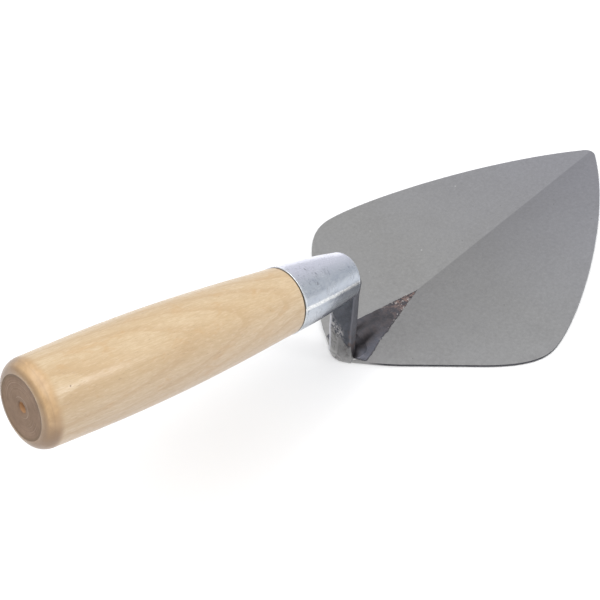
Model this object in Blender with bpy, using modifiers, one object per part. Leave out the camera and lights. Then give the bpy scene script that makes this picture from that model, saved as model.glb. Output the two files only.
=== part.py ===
"""A heart-shaped bricklaying trowel: one forging makes the blade, the shank and the hidden
tang, a drawn steel ferrule closes the front of the grip, and the grip is turned wood.

Metres, +Z up, +Y towards the blade's tip, symmetric about X = 0. The origin is on the
blade's flat underside, on the centreline, where the blade is widest. Distances along the
grip are measured from the ferrule's front face towards the butt."""

import math

import bmesh
import bpy
from mathutils import Vector

FIT_GAP = 0.0003

# The blade in plan. Each outer corner is given where its straight sides would meet.
BLADE_HALF_WIDTH = 0.0683
TIP_Y = 0.1382
TIP_HALF_ANGLE = math.radians(42.4)
TIP_RADIUS = 0.005
TIP_PULL = 0.0579
SIDE_FRONT_PULL = 0.0203
SIDE_REAR_PULL = 0.011
SHOULDER = (0.050, -0.0282)
SHOULDER_ANGLE = math.radians(40.5)
SHOULDER_PULL = 0.012
FLANK_KNEE = (0.021, -0.0530)
KNEE_BEFORE = (0.0040, 0.0036)
KNEE_AFTER = (-0.0030, -0.0022)
HEEL_Y = -0.0670
HEEL_RADIUS = 0.0077

# The blade in thickness: a shallow ridge runs along the centreline.
EDGE_THICKNESS = 0.0013
RIDGE_AT_HEEL = 0.0024
RIDGE_AT_TIP = 0.0014

# The tongue: a raised V on the blade, widest at the heel, that the shank grows out of.
TONGUE_TIP_Y = -0.0100
TONGUE_HEEL_Y = -0.0588
TONGUE_HALF_WIDTH = 0.0115
TONGUE_RISE = 0.0032
TONGUE_RISE_POWER = 1.6
TONGUE_SHARES = (0.02, 0.25, 0.5, 0.75, 1.0)
TONGUE_SINK = 0.0008
TONGUE_EAVES_SINK = 0.0001
TONGUE_GABLE_X_SHARE = 1 / 3
TONGUE_GABLE_RISE_SHARE = 0.75

# The tongue's tail: behind its widest place it closes quickly, under the shank.
TAIL_Y = -0.0628
TAIL_WIDTH_SHARE = 0.45
TAIL_RISE_SHARE = 0.5

# The shank: a flat bar, forged up from the heel, that leans forward as it rises.
SHANK_WIDTH = 0.0125
SHANK_ROOT_WIDTH = 0.0148
SHANK_ROOT_Z = 0.0006
SHANK_BACK = ((SHANK_ROOT_Z, -0.0630), (0.004, -0.0629), (0.014, -0.0628), (0.025, -0.0610), (0.036, -0.0590))
SHANK_DEPTHS = (0.0085, 0.0066, 0.0050, 0.0049, 0.0044)
SHANK_ROOT_STATIONS = 2
BAR_CORNER_SHARE = 0.32
BEND_RADIUS = 0.004

# The grip's axis climbs towards the butt from the centre of the ferrule's front face.
GRIP_FRONT = Vector((0.0, -0.05885, 0.04487))
GRIP_CLIMB = math.radians(17.07)

FERRULE_LENGTH = 0.0367
FERRULE_FRONT_RADIUS = 0.01016
FERRULE_REAR_RADIUS = 0.01375
FERRULE_BULGE = 0.00056
FERRULE_WALL = 0.0010
FERRULE_FRONT_WALL = 0.0012
FERRULE_EDGE_RADIUS = 0.0012
FERRULE_HOLE_RADIUS = 0.0053

# The tang: the bar goes on past the bend, along the grip's axis, tapering.
TANG_NECK = (0.0092, 0.0048)
TANG_MIDDLE = (0.0075, 0.0046)
TANG_END = (0.0040, 0.0030)
TANG_MIDDLE_AT = 0.037
TANG_LENGTH = 0.100

WOOD_LENGTH = 0.1153
WOOD_RADII = (0.01360, 0.01527, 0.01635, 0.01642, 0.01555)
BUTT_ROUNDING = 0.0052
BUTT_FLAT_RADIUS = 0.0112
LATHE_HOLE_RADIUS = 0.0019
LATHE_HOLE_DEPTH = 0.0060
BORE_MOUTH_RADIUS = 0.0053
BORE_END_RADIUS = 0.0028
BORE_LENGTH = 0.102

# Steps in the curves, and the tolerances of the modifiers.
TIP_STEPS = 4
FRONT_STEPS = 26
SIDE_STEPS = 10
HEEL_STEPS = 5
BAR_CORNER_STEPS = 3
BEND_STEPS = 6
FERRULE_STEPS = 8
FERRULE_EDGE_STEPS = 4
BARREL_STEPS = 5
BUTT_STEPS = 6
NOSE_STEPS = 6
TURN_STEPS = 48
MERGE_DISTANCE = 0.00001
SHARP_ANGLE = math.radians(35)

STEEL = ("forged_steel", (0.29, 0.29, 0.28), 0.42, 1.0)
ZINC = ("ferrule_steel", (0.50, 0.54, 0.60), 0.35, 1.0)
WOOD = ("pale_hardwood", (0.62, 0.42, 0.24), 0.45, 0.0)


def clear_scene():
    for obj in list(bpy.data.objects):
        bpy.data.objects.remove(obj, do_unlink=True)


def new_collection(name):
    collection = bpy.data.collections.new(name)
    bpy.context.scene.collection.children.link(collection)
    return collection


def new_material(look):
    name, colour, roughness, metallic = look
    material = bpy.data.materials.new(name)
    material.use_nodes = True
    shader = material.node_tree.nodes["Principled BSDF"]
    shader.inputs["Base Color"].default_value = (*colour, 1.0)
    shader.inputs["Roughness"].default_value = roughness
    shader.inputs["Metallic"].default_value = metallic
    return material


def new_object(name, mesh, collection, look):
    obj = bpy.data.objects.new(name, mesh)
    collection.objects.link(obj)
    mesh.materials.append(new_material(look))
    mesh.shade_smooth()
    mesh.set_sharp_from_angle(angle=SHARP_ANGLE)
    return obj


def new_helper(name, mesh, collection):
    obj = bpy.data.objects.new(name, mesh)
    collection.objects.link(obj)
    obj.hide_render = True
    obj.display_type = "WIRE"
    return obj


# ---------------------------------------------------------------- plain geometry


def mix(a, b, t):
    return a + (b - a) * t


def bezier(start, pull_out, pull_in, end, steps):
    """Points on a cubic curve, from its start to its end."""
    points = []
    for i in range(steps + 1):
        t = i / steps
        u = 1 - t
        points.append(u**3 * start + 3 * u * u * t * pull_out + 3 * u * t * t * pull_in + t**3 * end)
    return points


def smooth_values(values, steps):
    """A smooth run through evenly spaced values (Catmull-Rom), with steps in each interval."""
    padded = [2 * values[0] - values[1], *values, 2 * values[-1] - values[-2]]
    run = []
    for i in range(len(values) - 1):
        a, b, c, d = padded[i : i + 4]
        for j in range(steps):
            t = j / steps
            slope = (c - a) * t
            bow = (2 * a - 5 * b + 4 * c - d) * t**2
            twist = (3 * b - a - 3 * c + d) * t**3
            run.append(b + (slope + bow + twist) / 2)
    run.append(values[-1])
    return run


def half_corner(corner_y, half_angle, radius, towards, steps):
    """The +X half of a rounded corner on the centreline. Its sides leave the corner at half_angle to
    the Y axis, on the side given by towards (+1 or -1). The points run from the centreline out."""
    centre_y = corner_y + towards * radius / math.sin(half_angle)
    sweep = math.pi / 2 - half_angle
    points = []
    for i in range(steps + 1):
        angle = sweep * i / steps
        points.append(Vector((radius * math.sin(angle), centre_y - towards * radius * math.cos(angle))))
    return points


# ---------------------------------------------------------------- the blade


def blade_outline():
    """The +X half of the blade's outline, from the tip to the heel, both on the centreline."""
    tip = Vector((0, TIP_Y))
    widest = Vector((BLADE_HALF_WIDTH, 0))
    shoulder = Vector(SHOULDER)
    leaving_tip = Vector((math.sin(TIP_HALF_ANGLE), -math.cos(TIP_HALF_ANGLE)))
    along_flank = Vector((math.cos(SHOULDER_ANGLE), math.sin(SHOULDER_ANGLE)))
    tip_arc = half_corner(TIP_Y, TIP_HALF_ANGLE, TIP_RADIUS, -1, TIP_STEPS)
    front = bezier(
        tip, tip + TIP_PULL * leaving_tip, widest + Vector((0, SIDE_FRONT_PULL)), widest, FRONT_STEPS
    )
    front = [p for p in front if p.y < tip_arc[-1].y - TIP_RADIUS / 4]
    side = bezier(
        widest,
        widest - Vector((0, SIDE_REAR_PULL)),
        shoulder + SHOULDER_PULL * along_flank,
        shoulder,
        SIDE_STEPS,
    )
    knee = Vector(FLANK_KNEE)
    heel_half_angle = math.atan2(knee.x, knee.y - HEEL_Y)
    heel_arc = half_corner(HEEL_Y, heel_half_angle, HEEL_RADIUS, 1, HEEL_STEPS)
    flank = [shoulder.lerp(knee, 0.5), knee + Vector(KNEE_BEFORE), knee + Vector(KNEE_AFTER)]
    return tip_arc + front + side[1:] + flank + heel_arc[::-1]


def ridge_height(y):
    return mix(RIDGE_AT_HEEL, RIDGE_AT_TIP, (y - HEEL_Y) / (TIP_Y - HEEL_Y))


def blade_mesh():
    """The +X half of the blade, open at X = 0: a flat underside, a thin rim and a top that rises
    from the rim to the ridge."""
    outline = blade_outline()
    mesh = bmesh.new()
    rows = []
    for point in outline:
        on_centreline = point.x < 1e-6
        ridge = EDGE_THICKNESS if on_centreline else ridge_height(point.y)
        middle = [mesh.verts.new((0, point.y, 0)), mesh.verts.new((0, point.y, ridge))]
        if on_centreline:
            rows.append((middle[0], middle[0], middle[1], middle[1]))
            continue
        low = mesh.verts.new((point.x, point.y, 0))
        high = mesh.verts.new((point.x, point.y, EDGE_THICKNESS))
        rows.append((middle[0], low, high, middle[1]))
    for row, after in zip(rows, rows[1:]):
        for i in range(3):
            corners = [row[i], after[i], after[i + 1], row[i + 1]]
            mesh.faces.new(list(dict.fromkeys(corners)))
    bmesh.ops.recalc_face_normals(mesh, faces=mesh.faces)
    data = bpy.data.meshes.new("blade_half")
    mesh.to_mesh(data)
    mesh.free()
    return data


# ---------------------------------------------------------------- tongue, shank and tang


def loft(name, rings):
    """A closed solid through rings of the same number of points, with a flat cap at each end."""
    mesh = bmesh.new()
    rows = [[mesh.verts.new(point) for point in ring] for ring in rings]
    for row, after in zip(rows, rows[1:]):
        for i in range(len(row)):
            j = (i + 1) % len(row)
            mesh.faces.new((row[i], row[j], after[j], after[i]))
    mesh.faces.new(rows[0])
    mesh.faces.new(rows[-1])
    bmesh.ops.recalc_face_normals(mesh, faces=mesh.faces)
    data = bpy.data.meshes.new(name)
    mesh.to_mesh(data)
    mesh.free()
    return data


def tongue_ring(y, half_width, rise):
    """A low gable across the blade. Its foot is sunk into the blade."""
    foot = EDGE_THICKNESS - TONGUE_SINK
    eaves = mix(ridge_height(y), EDGE_THICKNESS, half_width / BLADE_HALF_WIDTH) - TONGUE_EAVES_SINK
    crest = ridge_height(y) + rise
    gable_x = half_width * TONGUE_GABLE_X_SHARE
    gable_z = mix(eaves, crest, TONGUE_GABLE_RISE_SHARE)
    return (
        (-half_width, y, foot),
        (half_width, y, foot),
        (half_width, y, eaves),
        (gable_x, y, gable_z),
        (0, y, crest),
        (-gable_x, y, gable_z),
        (-half_width, y, eaves),
    )


def tongue_mesh():
    rings = []
    for share in TONGUE_SHARES:
        y = mix(TONGUE_TIP_Y, TONGUE_HEEL_Y, share)
        rings.append(tongue_ring(y, TONGUE_HALF_WIDTH * share, TONGUE_RISE * share**TONGUE_RISE_POWER))
    tail_half_width = TONGUE_HALF_WIDTH * TAIL_WIDTH_SHARE
    rings.append(tongue_ring(TAIL_Y, tail_half_width, TONGUE_RISE * TAIL_RISE_SHARE))
    return loft("tongue", rings)


def bar_ring(centre, depth_direction, width, depth):
    """A rounded rectangle across the bar. Its width is along X."""
    radius = BAR_CORNER_SHARE * min(width, depth)
    ring = []
    for quarter in range(4):
        angle = math.pi / 2 * quarter
        corner_x = math.copysign(width / 2 - radius, math.cos(angle + math.pi / 4))
        corner_d = math.copysign(depth / 2 - radius, math.sin(angle + math.pi / 4))
        for i in range(BAR_CORNER_STEPS + 1):
            turn = angle + math.pi / 2 * i / BAR_CORNER_STEPS
            across = corner_x + radius * math.cos(turn)
            deep = corner_d + radius * math.sin(turn)
            ring.append(centre + Vector((across, 0, 0)) + depth_direction * deep)
    return ring


def grip_direction():
    return Vector((0, -math.cos(GRIP_CLIMB), math.sin(GRIP_CLIMB)))


def grip_up():
    return Vector((0, math.sin(GRIP_CLIMB), math.cos(GRIP_CLIMB)))


def shank_and_tang_mesh():
    forward = Vector((0, 1, 0))
    rings = []
    for i, ((z, back), depth) in enumerate(zip(SHANK_BACK, SHANK_DEPTHS)):
        width = mix(SHANK_ROOT_WIDTH, SHANK_WIDTH, min(1, i / SHANK_ROOT_STATIONS))
        rings.append(bar_ring(Vector((0, back + depth / 2, z)), forward, width, depth))

    # The bend: an arc from the top of the shank to the grip's axis, narrowing to the tang's neck.
    axis = grip_direction()
    bend_end = GRIP_FRONT - axis * FIT_GAP
    bend_centre = bend_end - grip_up() * BEND_RADIUS
    for i in range(BEND_STEPS + 1):
        share = i / BEND_STEPS
        angle = mix(0, math.pi / 2 - GRIP_CLIMB, share)
        out = Vector((0, math.cos(angle), math.sin(angle)))
        width = mix(SHANK_WIDTH, TANG_NECK[0], share)
        depth = mix(SHANK_DEPTHS[-1], TANG_NECK[1], share)
        rings.append(bar_ring(bend_centre + out * BEND_RADIUS, out, width, depth))

    for at, (width, depth) in (
        (FERRULE_FRONT_WALL, TANG_NECK),
        (TANG_MIDDLE_AT, TANG_MIDDLE),
        (TANG_LENGTH, TANG_END),
    ):
        rings.append(bar_ring(GRIP_FRONT + axis * at, grip_up(), width, depth))
    return loft("shank_and_tang", rings)


def add_union(obj, other):
    union = obj.modifiers.new(other.name, "BOOLEAN")
    union.operation = "UNION"
    union.solver = "EXACT"
    union.object = other


def make_forging(parts, helpers):
    forging = new_object("blade_forging", blade_mesh(), parts, STEEL)
    mirror = forging.modifiers.new("other_half", "MIRROR")
    mirror.use_axis = (True, False, False)
    mirror.merge_threshold = MERGE_DISTANCE
    add_union(forging, new_helper("tongue", tongue_mesh(), helpers))
    add_union(forging, new_helper("shank_and_tang", shank_and_tang_mesh(), helpers))
    return forging


# ---------------------------------------------------------------- turned pieces


def turned_mesh(name, profile, closed):
    """A profile of (radius, distance along the grip) as a chain of edges, for a Screw modifier."""
    mesh = bmesh.new()
    chain = [mesh.verts.new((radius, 0, at)) for radius, at in profile]
    for a, b in zip(chain, chain[1:]):
        mesh.edges.new((a, b))
    if closed:
        mesh.edges.new((chain[-1], chain[0]))
    data = bpy.data.meshes.new(name)
    mesh.to_mesh(data)
    mesh.free()
    return data


def turn(obj):
    screw = obj.modifiers.new("turn", "SCREW")
    screw.axis = "Z"
    screw.angle = 2 * math.pi
    screw.steps = TURN_STEPS
    screw.render_steps = TURN_STEPS
    screw.use_merge_vertices = True
    screw.merge_threshold = MERGE_DISTANCE
    screw.use_smooth_shade = True


def ferrule_radius(at):
    share = at / FERRULE_LENGTH
    return mix(FERRULE_FRONT_RADIUS, FERRULE_REAR_RADIUS, share) + 4 * FERRULE_BULGE * share * (1 - share)


def ferrule_profile():
    """A tapered cup, open at the rear, with a hole in its front for the tang."""
    outside = []
    for i in range(FERRULE_STEPS + 1):
        at = mix(FERRULE_LENGTH, FERRULE_EDGE_RADIUS, i / FERRULE_STEPS)
        outside.append((ferrule_radius(at), at))
    edge = []
    for i in range(1, FERRULE_EDGE_STEPS + 1):
        angle = math.pi / 2 * i / FERRULE_EDGE_STEPS
        radius = ferrule_radius(FERRULE_EDGE_RADIUS) - FERRULE_EDGE_RADIUS * (1 - math.cos(angle))
        edge.append((radius, FERRULE_EDGE_RADIUS * (1 - math.sin(angle))))
    front = [(FERRULE_HOLE_RADIUS, 0.0), (FERRULE_HOLE_RADIUS, FERRULE_FRONT_WALL)]
    inside = []
    for i in range(FERRULE_STEPS + 1):
        at = mix(FERRULE_FRONT_WALL, FERRULE_LENGTH, i / FERRULE_STEPS)
        inside.append((ferrule_radius(at) - FERRULE_WALL, at))
    return outside + edge + front + inside


def handle_profile():
    """The grip from the centre of its butt, down its outside to the nose, and up the bore."""
    end = FERRULE_LENGTH + WOOD_LENGTH
    points = [
        (0.0, end - LATHE_HOLE_DEPTH),
        (LATHE_HOLE_RADIUS, end - LATHE_HOLE_DEPTH + LATHE_HOLE_RADIUS),
        (LATHE_HOLE_RADIUS, end),
    ]
    for i in range(BUTT_STEPS):
        angle = math.pi / 2 * i / BUTT_STEPS
        radius = mix(BUTT_FLAT_RADIUS, WOOD_RADII[-1], math.sin(angle))
        points.append((radius, end - BUTT_ROUNDING * (1 - math.cos(angle))))
    barrel = smooth_values(WOOD_RADII, BARREL_STEPS)
    start = FERRULE_LENGTH + FIT_GAP
    for i, radius in reversed(list(enumerate(barrel))):
        points.append((radius, mix(start, end - BUTT_ROUNDING, i / (len(barrel) - 1))))
    nose_front = FERRULE_FRONT_WALL + FIT_GAP
    for i in range(NOSE_STEPS + 1):
        at = mix(start, nose_front, i / NOSE_STEPS)
        inner = ferrule_radius(min(at, FERRULE_LENGTH)) - FERRULE_WALL - FIT_GAP
        points.append((inner, at))
    points += [(BORE_MOUTH_RADIUS, nose_front), (BORE_END_RADIUS, BORE_LENGTH)]
    points.append((0.0, BORE_LENGTH + BORE_END_RADIUS / 2))
    return points


def make_turned(name, profile, closed, look, parts, grip_axis):
    obj = new_object(name, turned_mesh(name, profile, closed), parts, look)
    turn(obj)
    obj.parent = grip_axis
    return obj


def main():
    clear_scene()
    parts = new_collection("bricklaying_trowel")
    helpers = new_collection("joined_shapes")

    grip_axis = bpy.data.objects.new("grip_axis", None)
    parts.objects.link(grip_axis)
    grip_axis.location = GRIP_FRONT
    grip_axis.rotation_euler = (math.pi / 2 - GRIP_CLIMB, 0, 0)

    make_forging(parts, helpers)
    make_turned("ferrule", ferrule_profile(), True, ZINC, parts, grip_axis)
    make_turned("wooden_handle", handle_profile(), False, WOOD, parts, grip_axis)


main()
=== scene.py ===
"""Bricklaying trowel: finished shapes, materials, floor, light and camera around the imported
model. Metres, in the CAD's frame: +Z up, +Y towards the blade's tip, symmetric about X = 0."""

import math

import bpy
from mathutils import Euler, Matrix, Vector, noise


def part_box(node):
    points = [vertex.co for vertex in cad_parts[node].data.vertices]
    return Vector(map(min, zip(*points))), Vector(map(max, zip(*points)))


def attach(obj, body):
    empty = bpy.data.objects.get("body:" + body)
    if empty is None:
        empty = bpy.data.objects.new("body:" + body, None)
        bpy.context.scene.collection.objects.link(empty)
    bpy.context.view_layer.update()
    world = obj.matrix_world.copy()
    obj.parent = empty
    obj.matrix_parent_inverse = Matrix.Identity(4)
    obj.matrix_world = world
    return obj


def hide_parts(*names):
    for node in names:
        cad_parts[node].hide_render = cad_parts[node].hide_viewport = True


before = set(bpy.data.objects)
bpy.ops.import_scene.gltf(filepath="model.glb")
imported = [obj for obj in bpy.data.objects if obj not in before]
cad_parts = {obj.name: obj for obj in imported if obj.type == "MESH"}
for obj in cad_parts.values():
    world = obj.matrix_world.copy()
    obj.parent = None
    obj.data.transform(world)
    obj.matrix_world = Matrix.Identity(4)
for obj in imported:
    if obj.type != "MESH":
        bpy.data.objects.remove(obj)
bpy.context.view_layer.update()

MM = 0.001

# ---------------- dimensions, as in the CAD

BLADE_HALF_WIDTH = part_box("blade_forging")[1].x
TIP_Y = 0.1382
TIP_HALF_ANGLE = math.radians(42.4)
TIP_RADIUS = 0.005
TIP_PULL = 0.0579
SIDE_FRONT_PULL = 0.0203
SIDE_REAR_PULL = 0.011
SHOULDER = Vector((0.05, -0.0282))
SHOULDER_ANGLE = math.radians(40.5)
SHOULDER_PULL = 0.012
FLANK_KNEE = Vector((0.021, -0.053))
KNEE_BEFORE = Vector((0.005, 0.0043))
KNEE_AFTER = Vector((0.0045, 0.003))
KNEE_PULL = 0.7
HEEL_Y = -0.067
HEEL_RADIUS = 0.0077
EDGE_THICKNESS = 0.0013
RIDGE_AT_HEEL = 0.0024
RIDGE_AT_TIP = 0.0014

GRIP_FRONT = Vector((0.0, -0.05885, 0.04487))
GRIP_CLIMB = math.radians(17.07)
FERRULE_LENGTH = 0.0367
FERRULE_FRONT_RADIUS = 0.01016
FERRULE_REAR_RADIUS = 0.01375
FERRULE_BULGE = 0.00056
FERRULE_WALL = 0.001
FERRULE_FRONT_WALL = 0.0012
FERRULE_EDGE_RADIUS = 0.0012
FERRULE_HOLE_RADIUS = 0.0053
WOOD_LENGTH = 0.1153
WOOD_RADII = (0.0136, 0.01527, 0.01635, 0.01642, 0.01555)
BUTT_ROUNDING = 0.0052
BUTT_FLAT_RADIUS = 0.0112
# The butt's flat is faced very slightly hollow: (radius, depth).
BUTT_RINGS = ((0.011, 0.00006), (0.0107, 0.00016), (0.0075, 0.00018), (0.0042, 0.00016))
LATHE_HOLE_RADIUS = 0.0019
LATHE_HOLE_DEPTH = 0.006
BORE_MOUTH_RADIUS = 0.0053
BORE_END_RADIUS = 0.0028
BORE_LENGTH = 0.102
FIT_GAP = 0.0003


# ---------------- small geometry


def mix(a, b, t):
    return a + (b - a) * t


def clamp(x, low=0.0, high=1.0):
    return max(low, min(high, x))


def smooth(x, low, high):
    t = clamp((x - low) / (high - low))
    return t * t * (3 - 2 * t)


def bezier(start, pull_out, pull_in, end, steps):
    points = []
    for i in range(steps + 1):
        t = i / steps
        u = 1 - t
        point = u**3 * start + 3 * u * u * t * pull_out + 3 * u * t * t * pull_in + t**3 * end
        points.append(point)
    return points


def half_corner(corner_y, half_angle, radius, towards, steps):
    """The +X half of a rounded corner on the centreline, from the centreline out."""
    centre_y = corner_y + towards * radius / math.sin(half_angle)
    sweep = math.pi / 2 - half_angle
    points = []
    for i in range(steps + 1):
        angle = sweep * i / steps
        y = centre_y - towards * radius * math.cos(angle)
        points.append(Vector((radius * math.sin(angle), y)))
    return points


def table(pairs, x):
    """The y at x on straight lines between (x, y) pairs, x ascending."""
    if x <= pairs[0][0]:
        return pairs[0][1]
    for (x0, y0), (x1, y1) in zip(pairs, pairs[1:]):
        if x <= x1:
            return mix(y0, y1, (x - x0) / (x1 - x0))
    return pairs[-1][1]


def bumps(point, size, seed=0.0):
    """Soft noise from -1 to 1 with features of the given size."""
    return noise.noise(Vector(point) / size + Vector((seed, seed * 1.7, -seed)))


# ---------------- blade


# How many steps each stretch of the outline is drawn in.
TIP_STEPS = 14
FRONT_STEPS = 150
SIDE_STEPS = 40
FLANK_STEPS = 16
KNEE_STEPS = 8
HEEL_STEPS = 16


def blade_outline():
    """The +X half of the outline, from the tip to the heel, both on the centreline."""
    tip = Vector((0, TIP_Y))
    widest = Vector((BLADE_HALF_WIDTH, 0))
    leaving_tip = Vector((math.sin(TIP_HALF_ANGLE), -math.cos(TIP_HALF_ANGLE)))
    along_flank = Vector((math.cos(SHOULDER_ANGLE), math.sin(SHOULDER_ANGLE)))
    tip_arc = half_corner(TIP_Y, TIP_HALF_ANGLE, TIP_RADIUS, -1, TIP_STEPS)
    pull_out, pull_in = tip + TIP_PULL * leaving_tip, widest + Vector((0, SIDE_FRONT_PULL))
    front = bezier(tip, pull_out, pull_in, widest, FRONT_STEPS)
    front = [p for p in front if p.y < tip_arc[-1].y - TIP_RADIUS / 20]
    pull_out, pull_in = widest - Vector((0, SIDE_REAR_PULL)), SHOULDER + SHOULDER_PULL * along_flank
    side = bezier(widest, pull_out, pull_in, SHOULDER, SIDE_STEPS)
    heel_half_angle = math.atan2(FLANK_KNEE.x, FLANK_KNEE.y - HEEL_Y)
    heel_arc = half_corner(HEEL_Y, heel_half_angle, HEEL_RADIUS, 1, HEEL_STEPS)
    before = FLANK_KNEE + KNEE_BEFORE
    after = FLANK_KNEE - KNEE_AFTER
    flank = [SHOULDER.lerp(before, i / FLANK_STEPS) for i in range(1, FLANK_STEPS)]
    pull_out = before.lerp(FLANK_KNEE, KNEE_PULL)
    pull_in = after.lerp(FLANK_KNEE, KNEE_PULL)
    knee = bezier(before, pull_out, pull_in, after, KNEE_STEPS)
    last = [after.lerp(heel_arc[-1], i / KNEE_STEPS) for i in range(1, KNEE_STEPS)]
    return tip_arc + front + side[1:] + flank + knee + last + heel_arc[::-1]


OUTLINE = blade_outline()
HEEL_APEX_Y = OUTLINE[-1].y
TIP_APEX_Y = OUTLINE[0].y


def half_width(y):
    """Half the blade's width at y."""
    if y >= TIP_APEX_Y or y <= HEEL_APEX_Y:
        return 0.0
    low, high = 0, len(OUTLINE) - 1
    while high - low > 1:
        middle = (low + high) // 2
        if OUTLINE[middle].y > y:
            low = middle
        else:
            high = middle
    a, b = OUTLINE[low], OUTLINE[high]
    return mix(a.x, b.x, (a.y - y) / max(a.y - b.y, 1e-9))


def heel_line(x):
    """The outline's y near the heel, at x from the centreline."""
    x = abs(x)
    for a, b in zip(OUTLINE[::-1], OUTLINE[-2::-1]):
        if b.x >= x:
            return mix(a.y, b.y, (x - a.x) / max(b.x - a.x, 1e-9))
    return 0.0


V_TIP_Y = -0.0096
V_HEEL_Y = -0.0588
V_HALF_WIDTH = 0.0121
V_OUTER_RISE = 0.001
HEEL_SQUARENESS = 0.8  # Turns a distance along Y into one square to the slanting heel.
# The middle rib of the V, from the heel to its front end: (y, half-width, rise).
V_RIB = (
    (-0.061, 0.0066, 0.0022),
    (-0.0562, 0.0053, 0.0022),
    (-0.05, 0.0042, 0.0017),
    (-0.045, 0.0036, 0.0011),
    (-0.04, 0.0037, 0.0004),
    (-0.033, 0.0044, 0.0),
)
V_OVERRUN = 1.15  # The V's sides run on past its heel end, as a share of its length.
V_RISE_POWER = 1.3
V_STEP = 0.00025
V_STEP_WIDTH = 0.0006
RIB_POWER = 1.25
RIDGE_SOFTNESS = 0.0006
V_MARGIN = 0.0002
HEEL_FADE = (0.0002, 0.0048)  # All relief dies out over this distance from the heel's edge.
RIM_BEVEL = 0.00018


def v_half_width(y):
    """Half the width of the forged V at y, negative in front of its tip."""
    share = (V_TIP_Y - y) / (V_TIP_Y - V_HEEL_Y)
    return V_HALF_WIDTH * min(share, V_OVERRUN)


def blade_top(x, y):
    """The height of the ground blade with the forged V on it."""
    x = abs(x)
    width = max(half_width(y), 1e-6)
    ridge = mix(RIDGE_AT_HEEL, RIDGE_AT_TIP, (y - HEEL_Y) / (TIP_Y - HEEL_Y))
    soft = RIDGE_SOFTNESS
    across = clamp((math.sqrt(x * x + soft * soft) - soft) / width)
    height = mix(ridge, EDGE_THICKNESS, across)
    share = clamp((V_TIP_Y - y) / (V_TIP_Y - V_HEEL_Y), 0, V_OVERRUN)
    if share > 0:
        half = min(V_HALF_WIDTH * share, width - V_MARGIN)
        inner, rib_rise = rib(y)
        rise = 0.0
        if x < half:
            rise += V_OUTER_RISE * share**V_RISE_POWER * (1 - x / half)
            rise += V_STEP * smooth(share, 0.0, 0.1) * smooth(half - x, 0.0, V_STEP_WIDTH)
        if x < inner:
            rise += rib_rise * (1 - x / inner) ** RIB_POWER
        height += rise * smooth(y - heel_line(x), *HEEL_FADE)
    return height


def rib(y):
    """The middle rib's half-width and rise at y."""
    halves = [(at, half) for at, half, _ in V_RIB]
    rises = [(at, rise) for at, _, rise in V_RIB]
    return table(halves, y), table(rises, y)


def v_depth(x, y):
    """How far inside the forged V a point is, in millimetres.

    The grind also leaves a strip bare along the heel, widest next to the shank.
    """
    slope = V_HALF_WIDTH / (V_TIP_Y - V_HEEL_Y)
    inside = (slope * (V_TIP_Y - y) - abs(x)) / math.hypot(1, slope)
    strip = mix(0.0017, 0.0003, clamp((abs(x) - 0.0055) / 0.006))
    from_heel = (y - heel_line(x)) * HEEL_SQUARENESS - strip
    return min(inside, from_heel) / MM


class Builder:
    """Points, faces and the masks that the materials read."""

    def __init__(self):
        self.points = []
        self.faces = []
        self.masks = {"forged": [], "rim": [], "crease_shade": [], "worn_edge_and_highlight": []}

    def add(self, point, forged=0.0, rim=0.0, crease_shade=0.0, worn_edge_and_highlight=0.0):
        self.points.append(Vector(point))
        for name, value in (("forged", forged), ("rim", rim), ("crease_shade", crease_shade), ("worn_edge_and_highlight", worn_edge_and_highlight)):
            self.masks[name].append(value)
        return len(self.points) - 1

    def face(self, *corners):
        corners = list(dict.fromkeys(corners))
        if len(corners) > 2:
            self.faces.append(corners)


# Rows of points follow the outline's own points for this many points from each end.
END_ROWS = 12
ROW_DIGITS = 6
ROW_GAP_LEAST = 0.00006


def row_gap(y):
    """The gap to the next row: finest round the shank's foot, coarsest in front of the V."""
    if y < -0.045:
        return 0.0004
    return 0.0006 if y < V_TIP_Y + 0.003 else 0.0013


def blade_rows():
    """The y of each row of points, closer together where the outline or the surface turns."""
    ends = OUTLINE[1:END_ROWS] + OUTLINE[-END_ROWS:-1]
    ys = {round(p.y, ROW_DIGITS) for p in ends}
    y = OUTLINE[-END_ROWS - 1].y
    while y < OUTLINE[END_ROWS].y:
        ys.add(round(y, ROW_DIGITS))
        y += row_gap(y)
    ys = sorted(ys, reverse=True)
    kept = [ys[0]]
    for y in ys[1:]:
        if kept[-1] - y > ROW_GAP_LEAST:
            kept.append(y)
    return kept


CREASE_WIDTH = 0.001
CREASE_INNER_SPREAD = 2.2
# Values of the "forged" mask, in millimetres inside the scale's edge.
NO_SCALE = -9.0
ALL_SCALE = 3.0
INNER_COLUMNS = 16
OUTER_COLUMNS = 44


def crease_shade_mask(x, y):
    """1 along the hollow between the V's middle rib and its outer facets, near the shank: where
    painted shade goes.
    """
    away = (abs(x) - rib(y)[0]) / CREASE_WIDTH
    if away < 0:
        away /= CREASE_INNER_SPREAD
    return math.exp(-away * away) * smooth(-y, 0.0385, 0.05)


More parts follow.
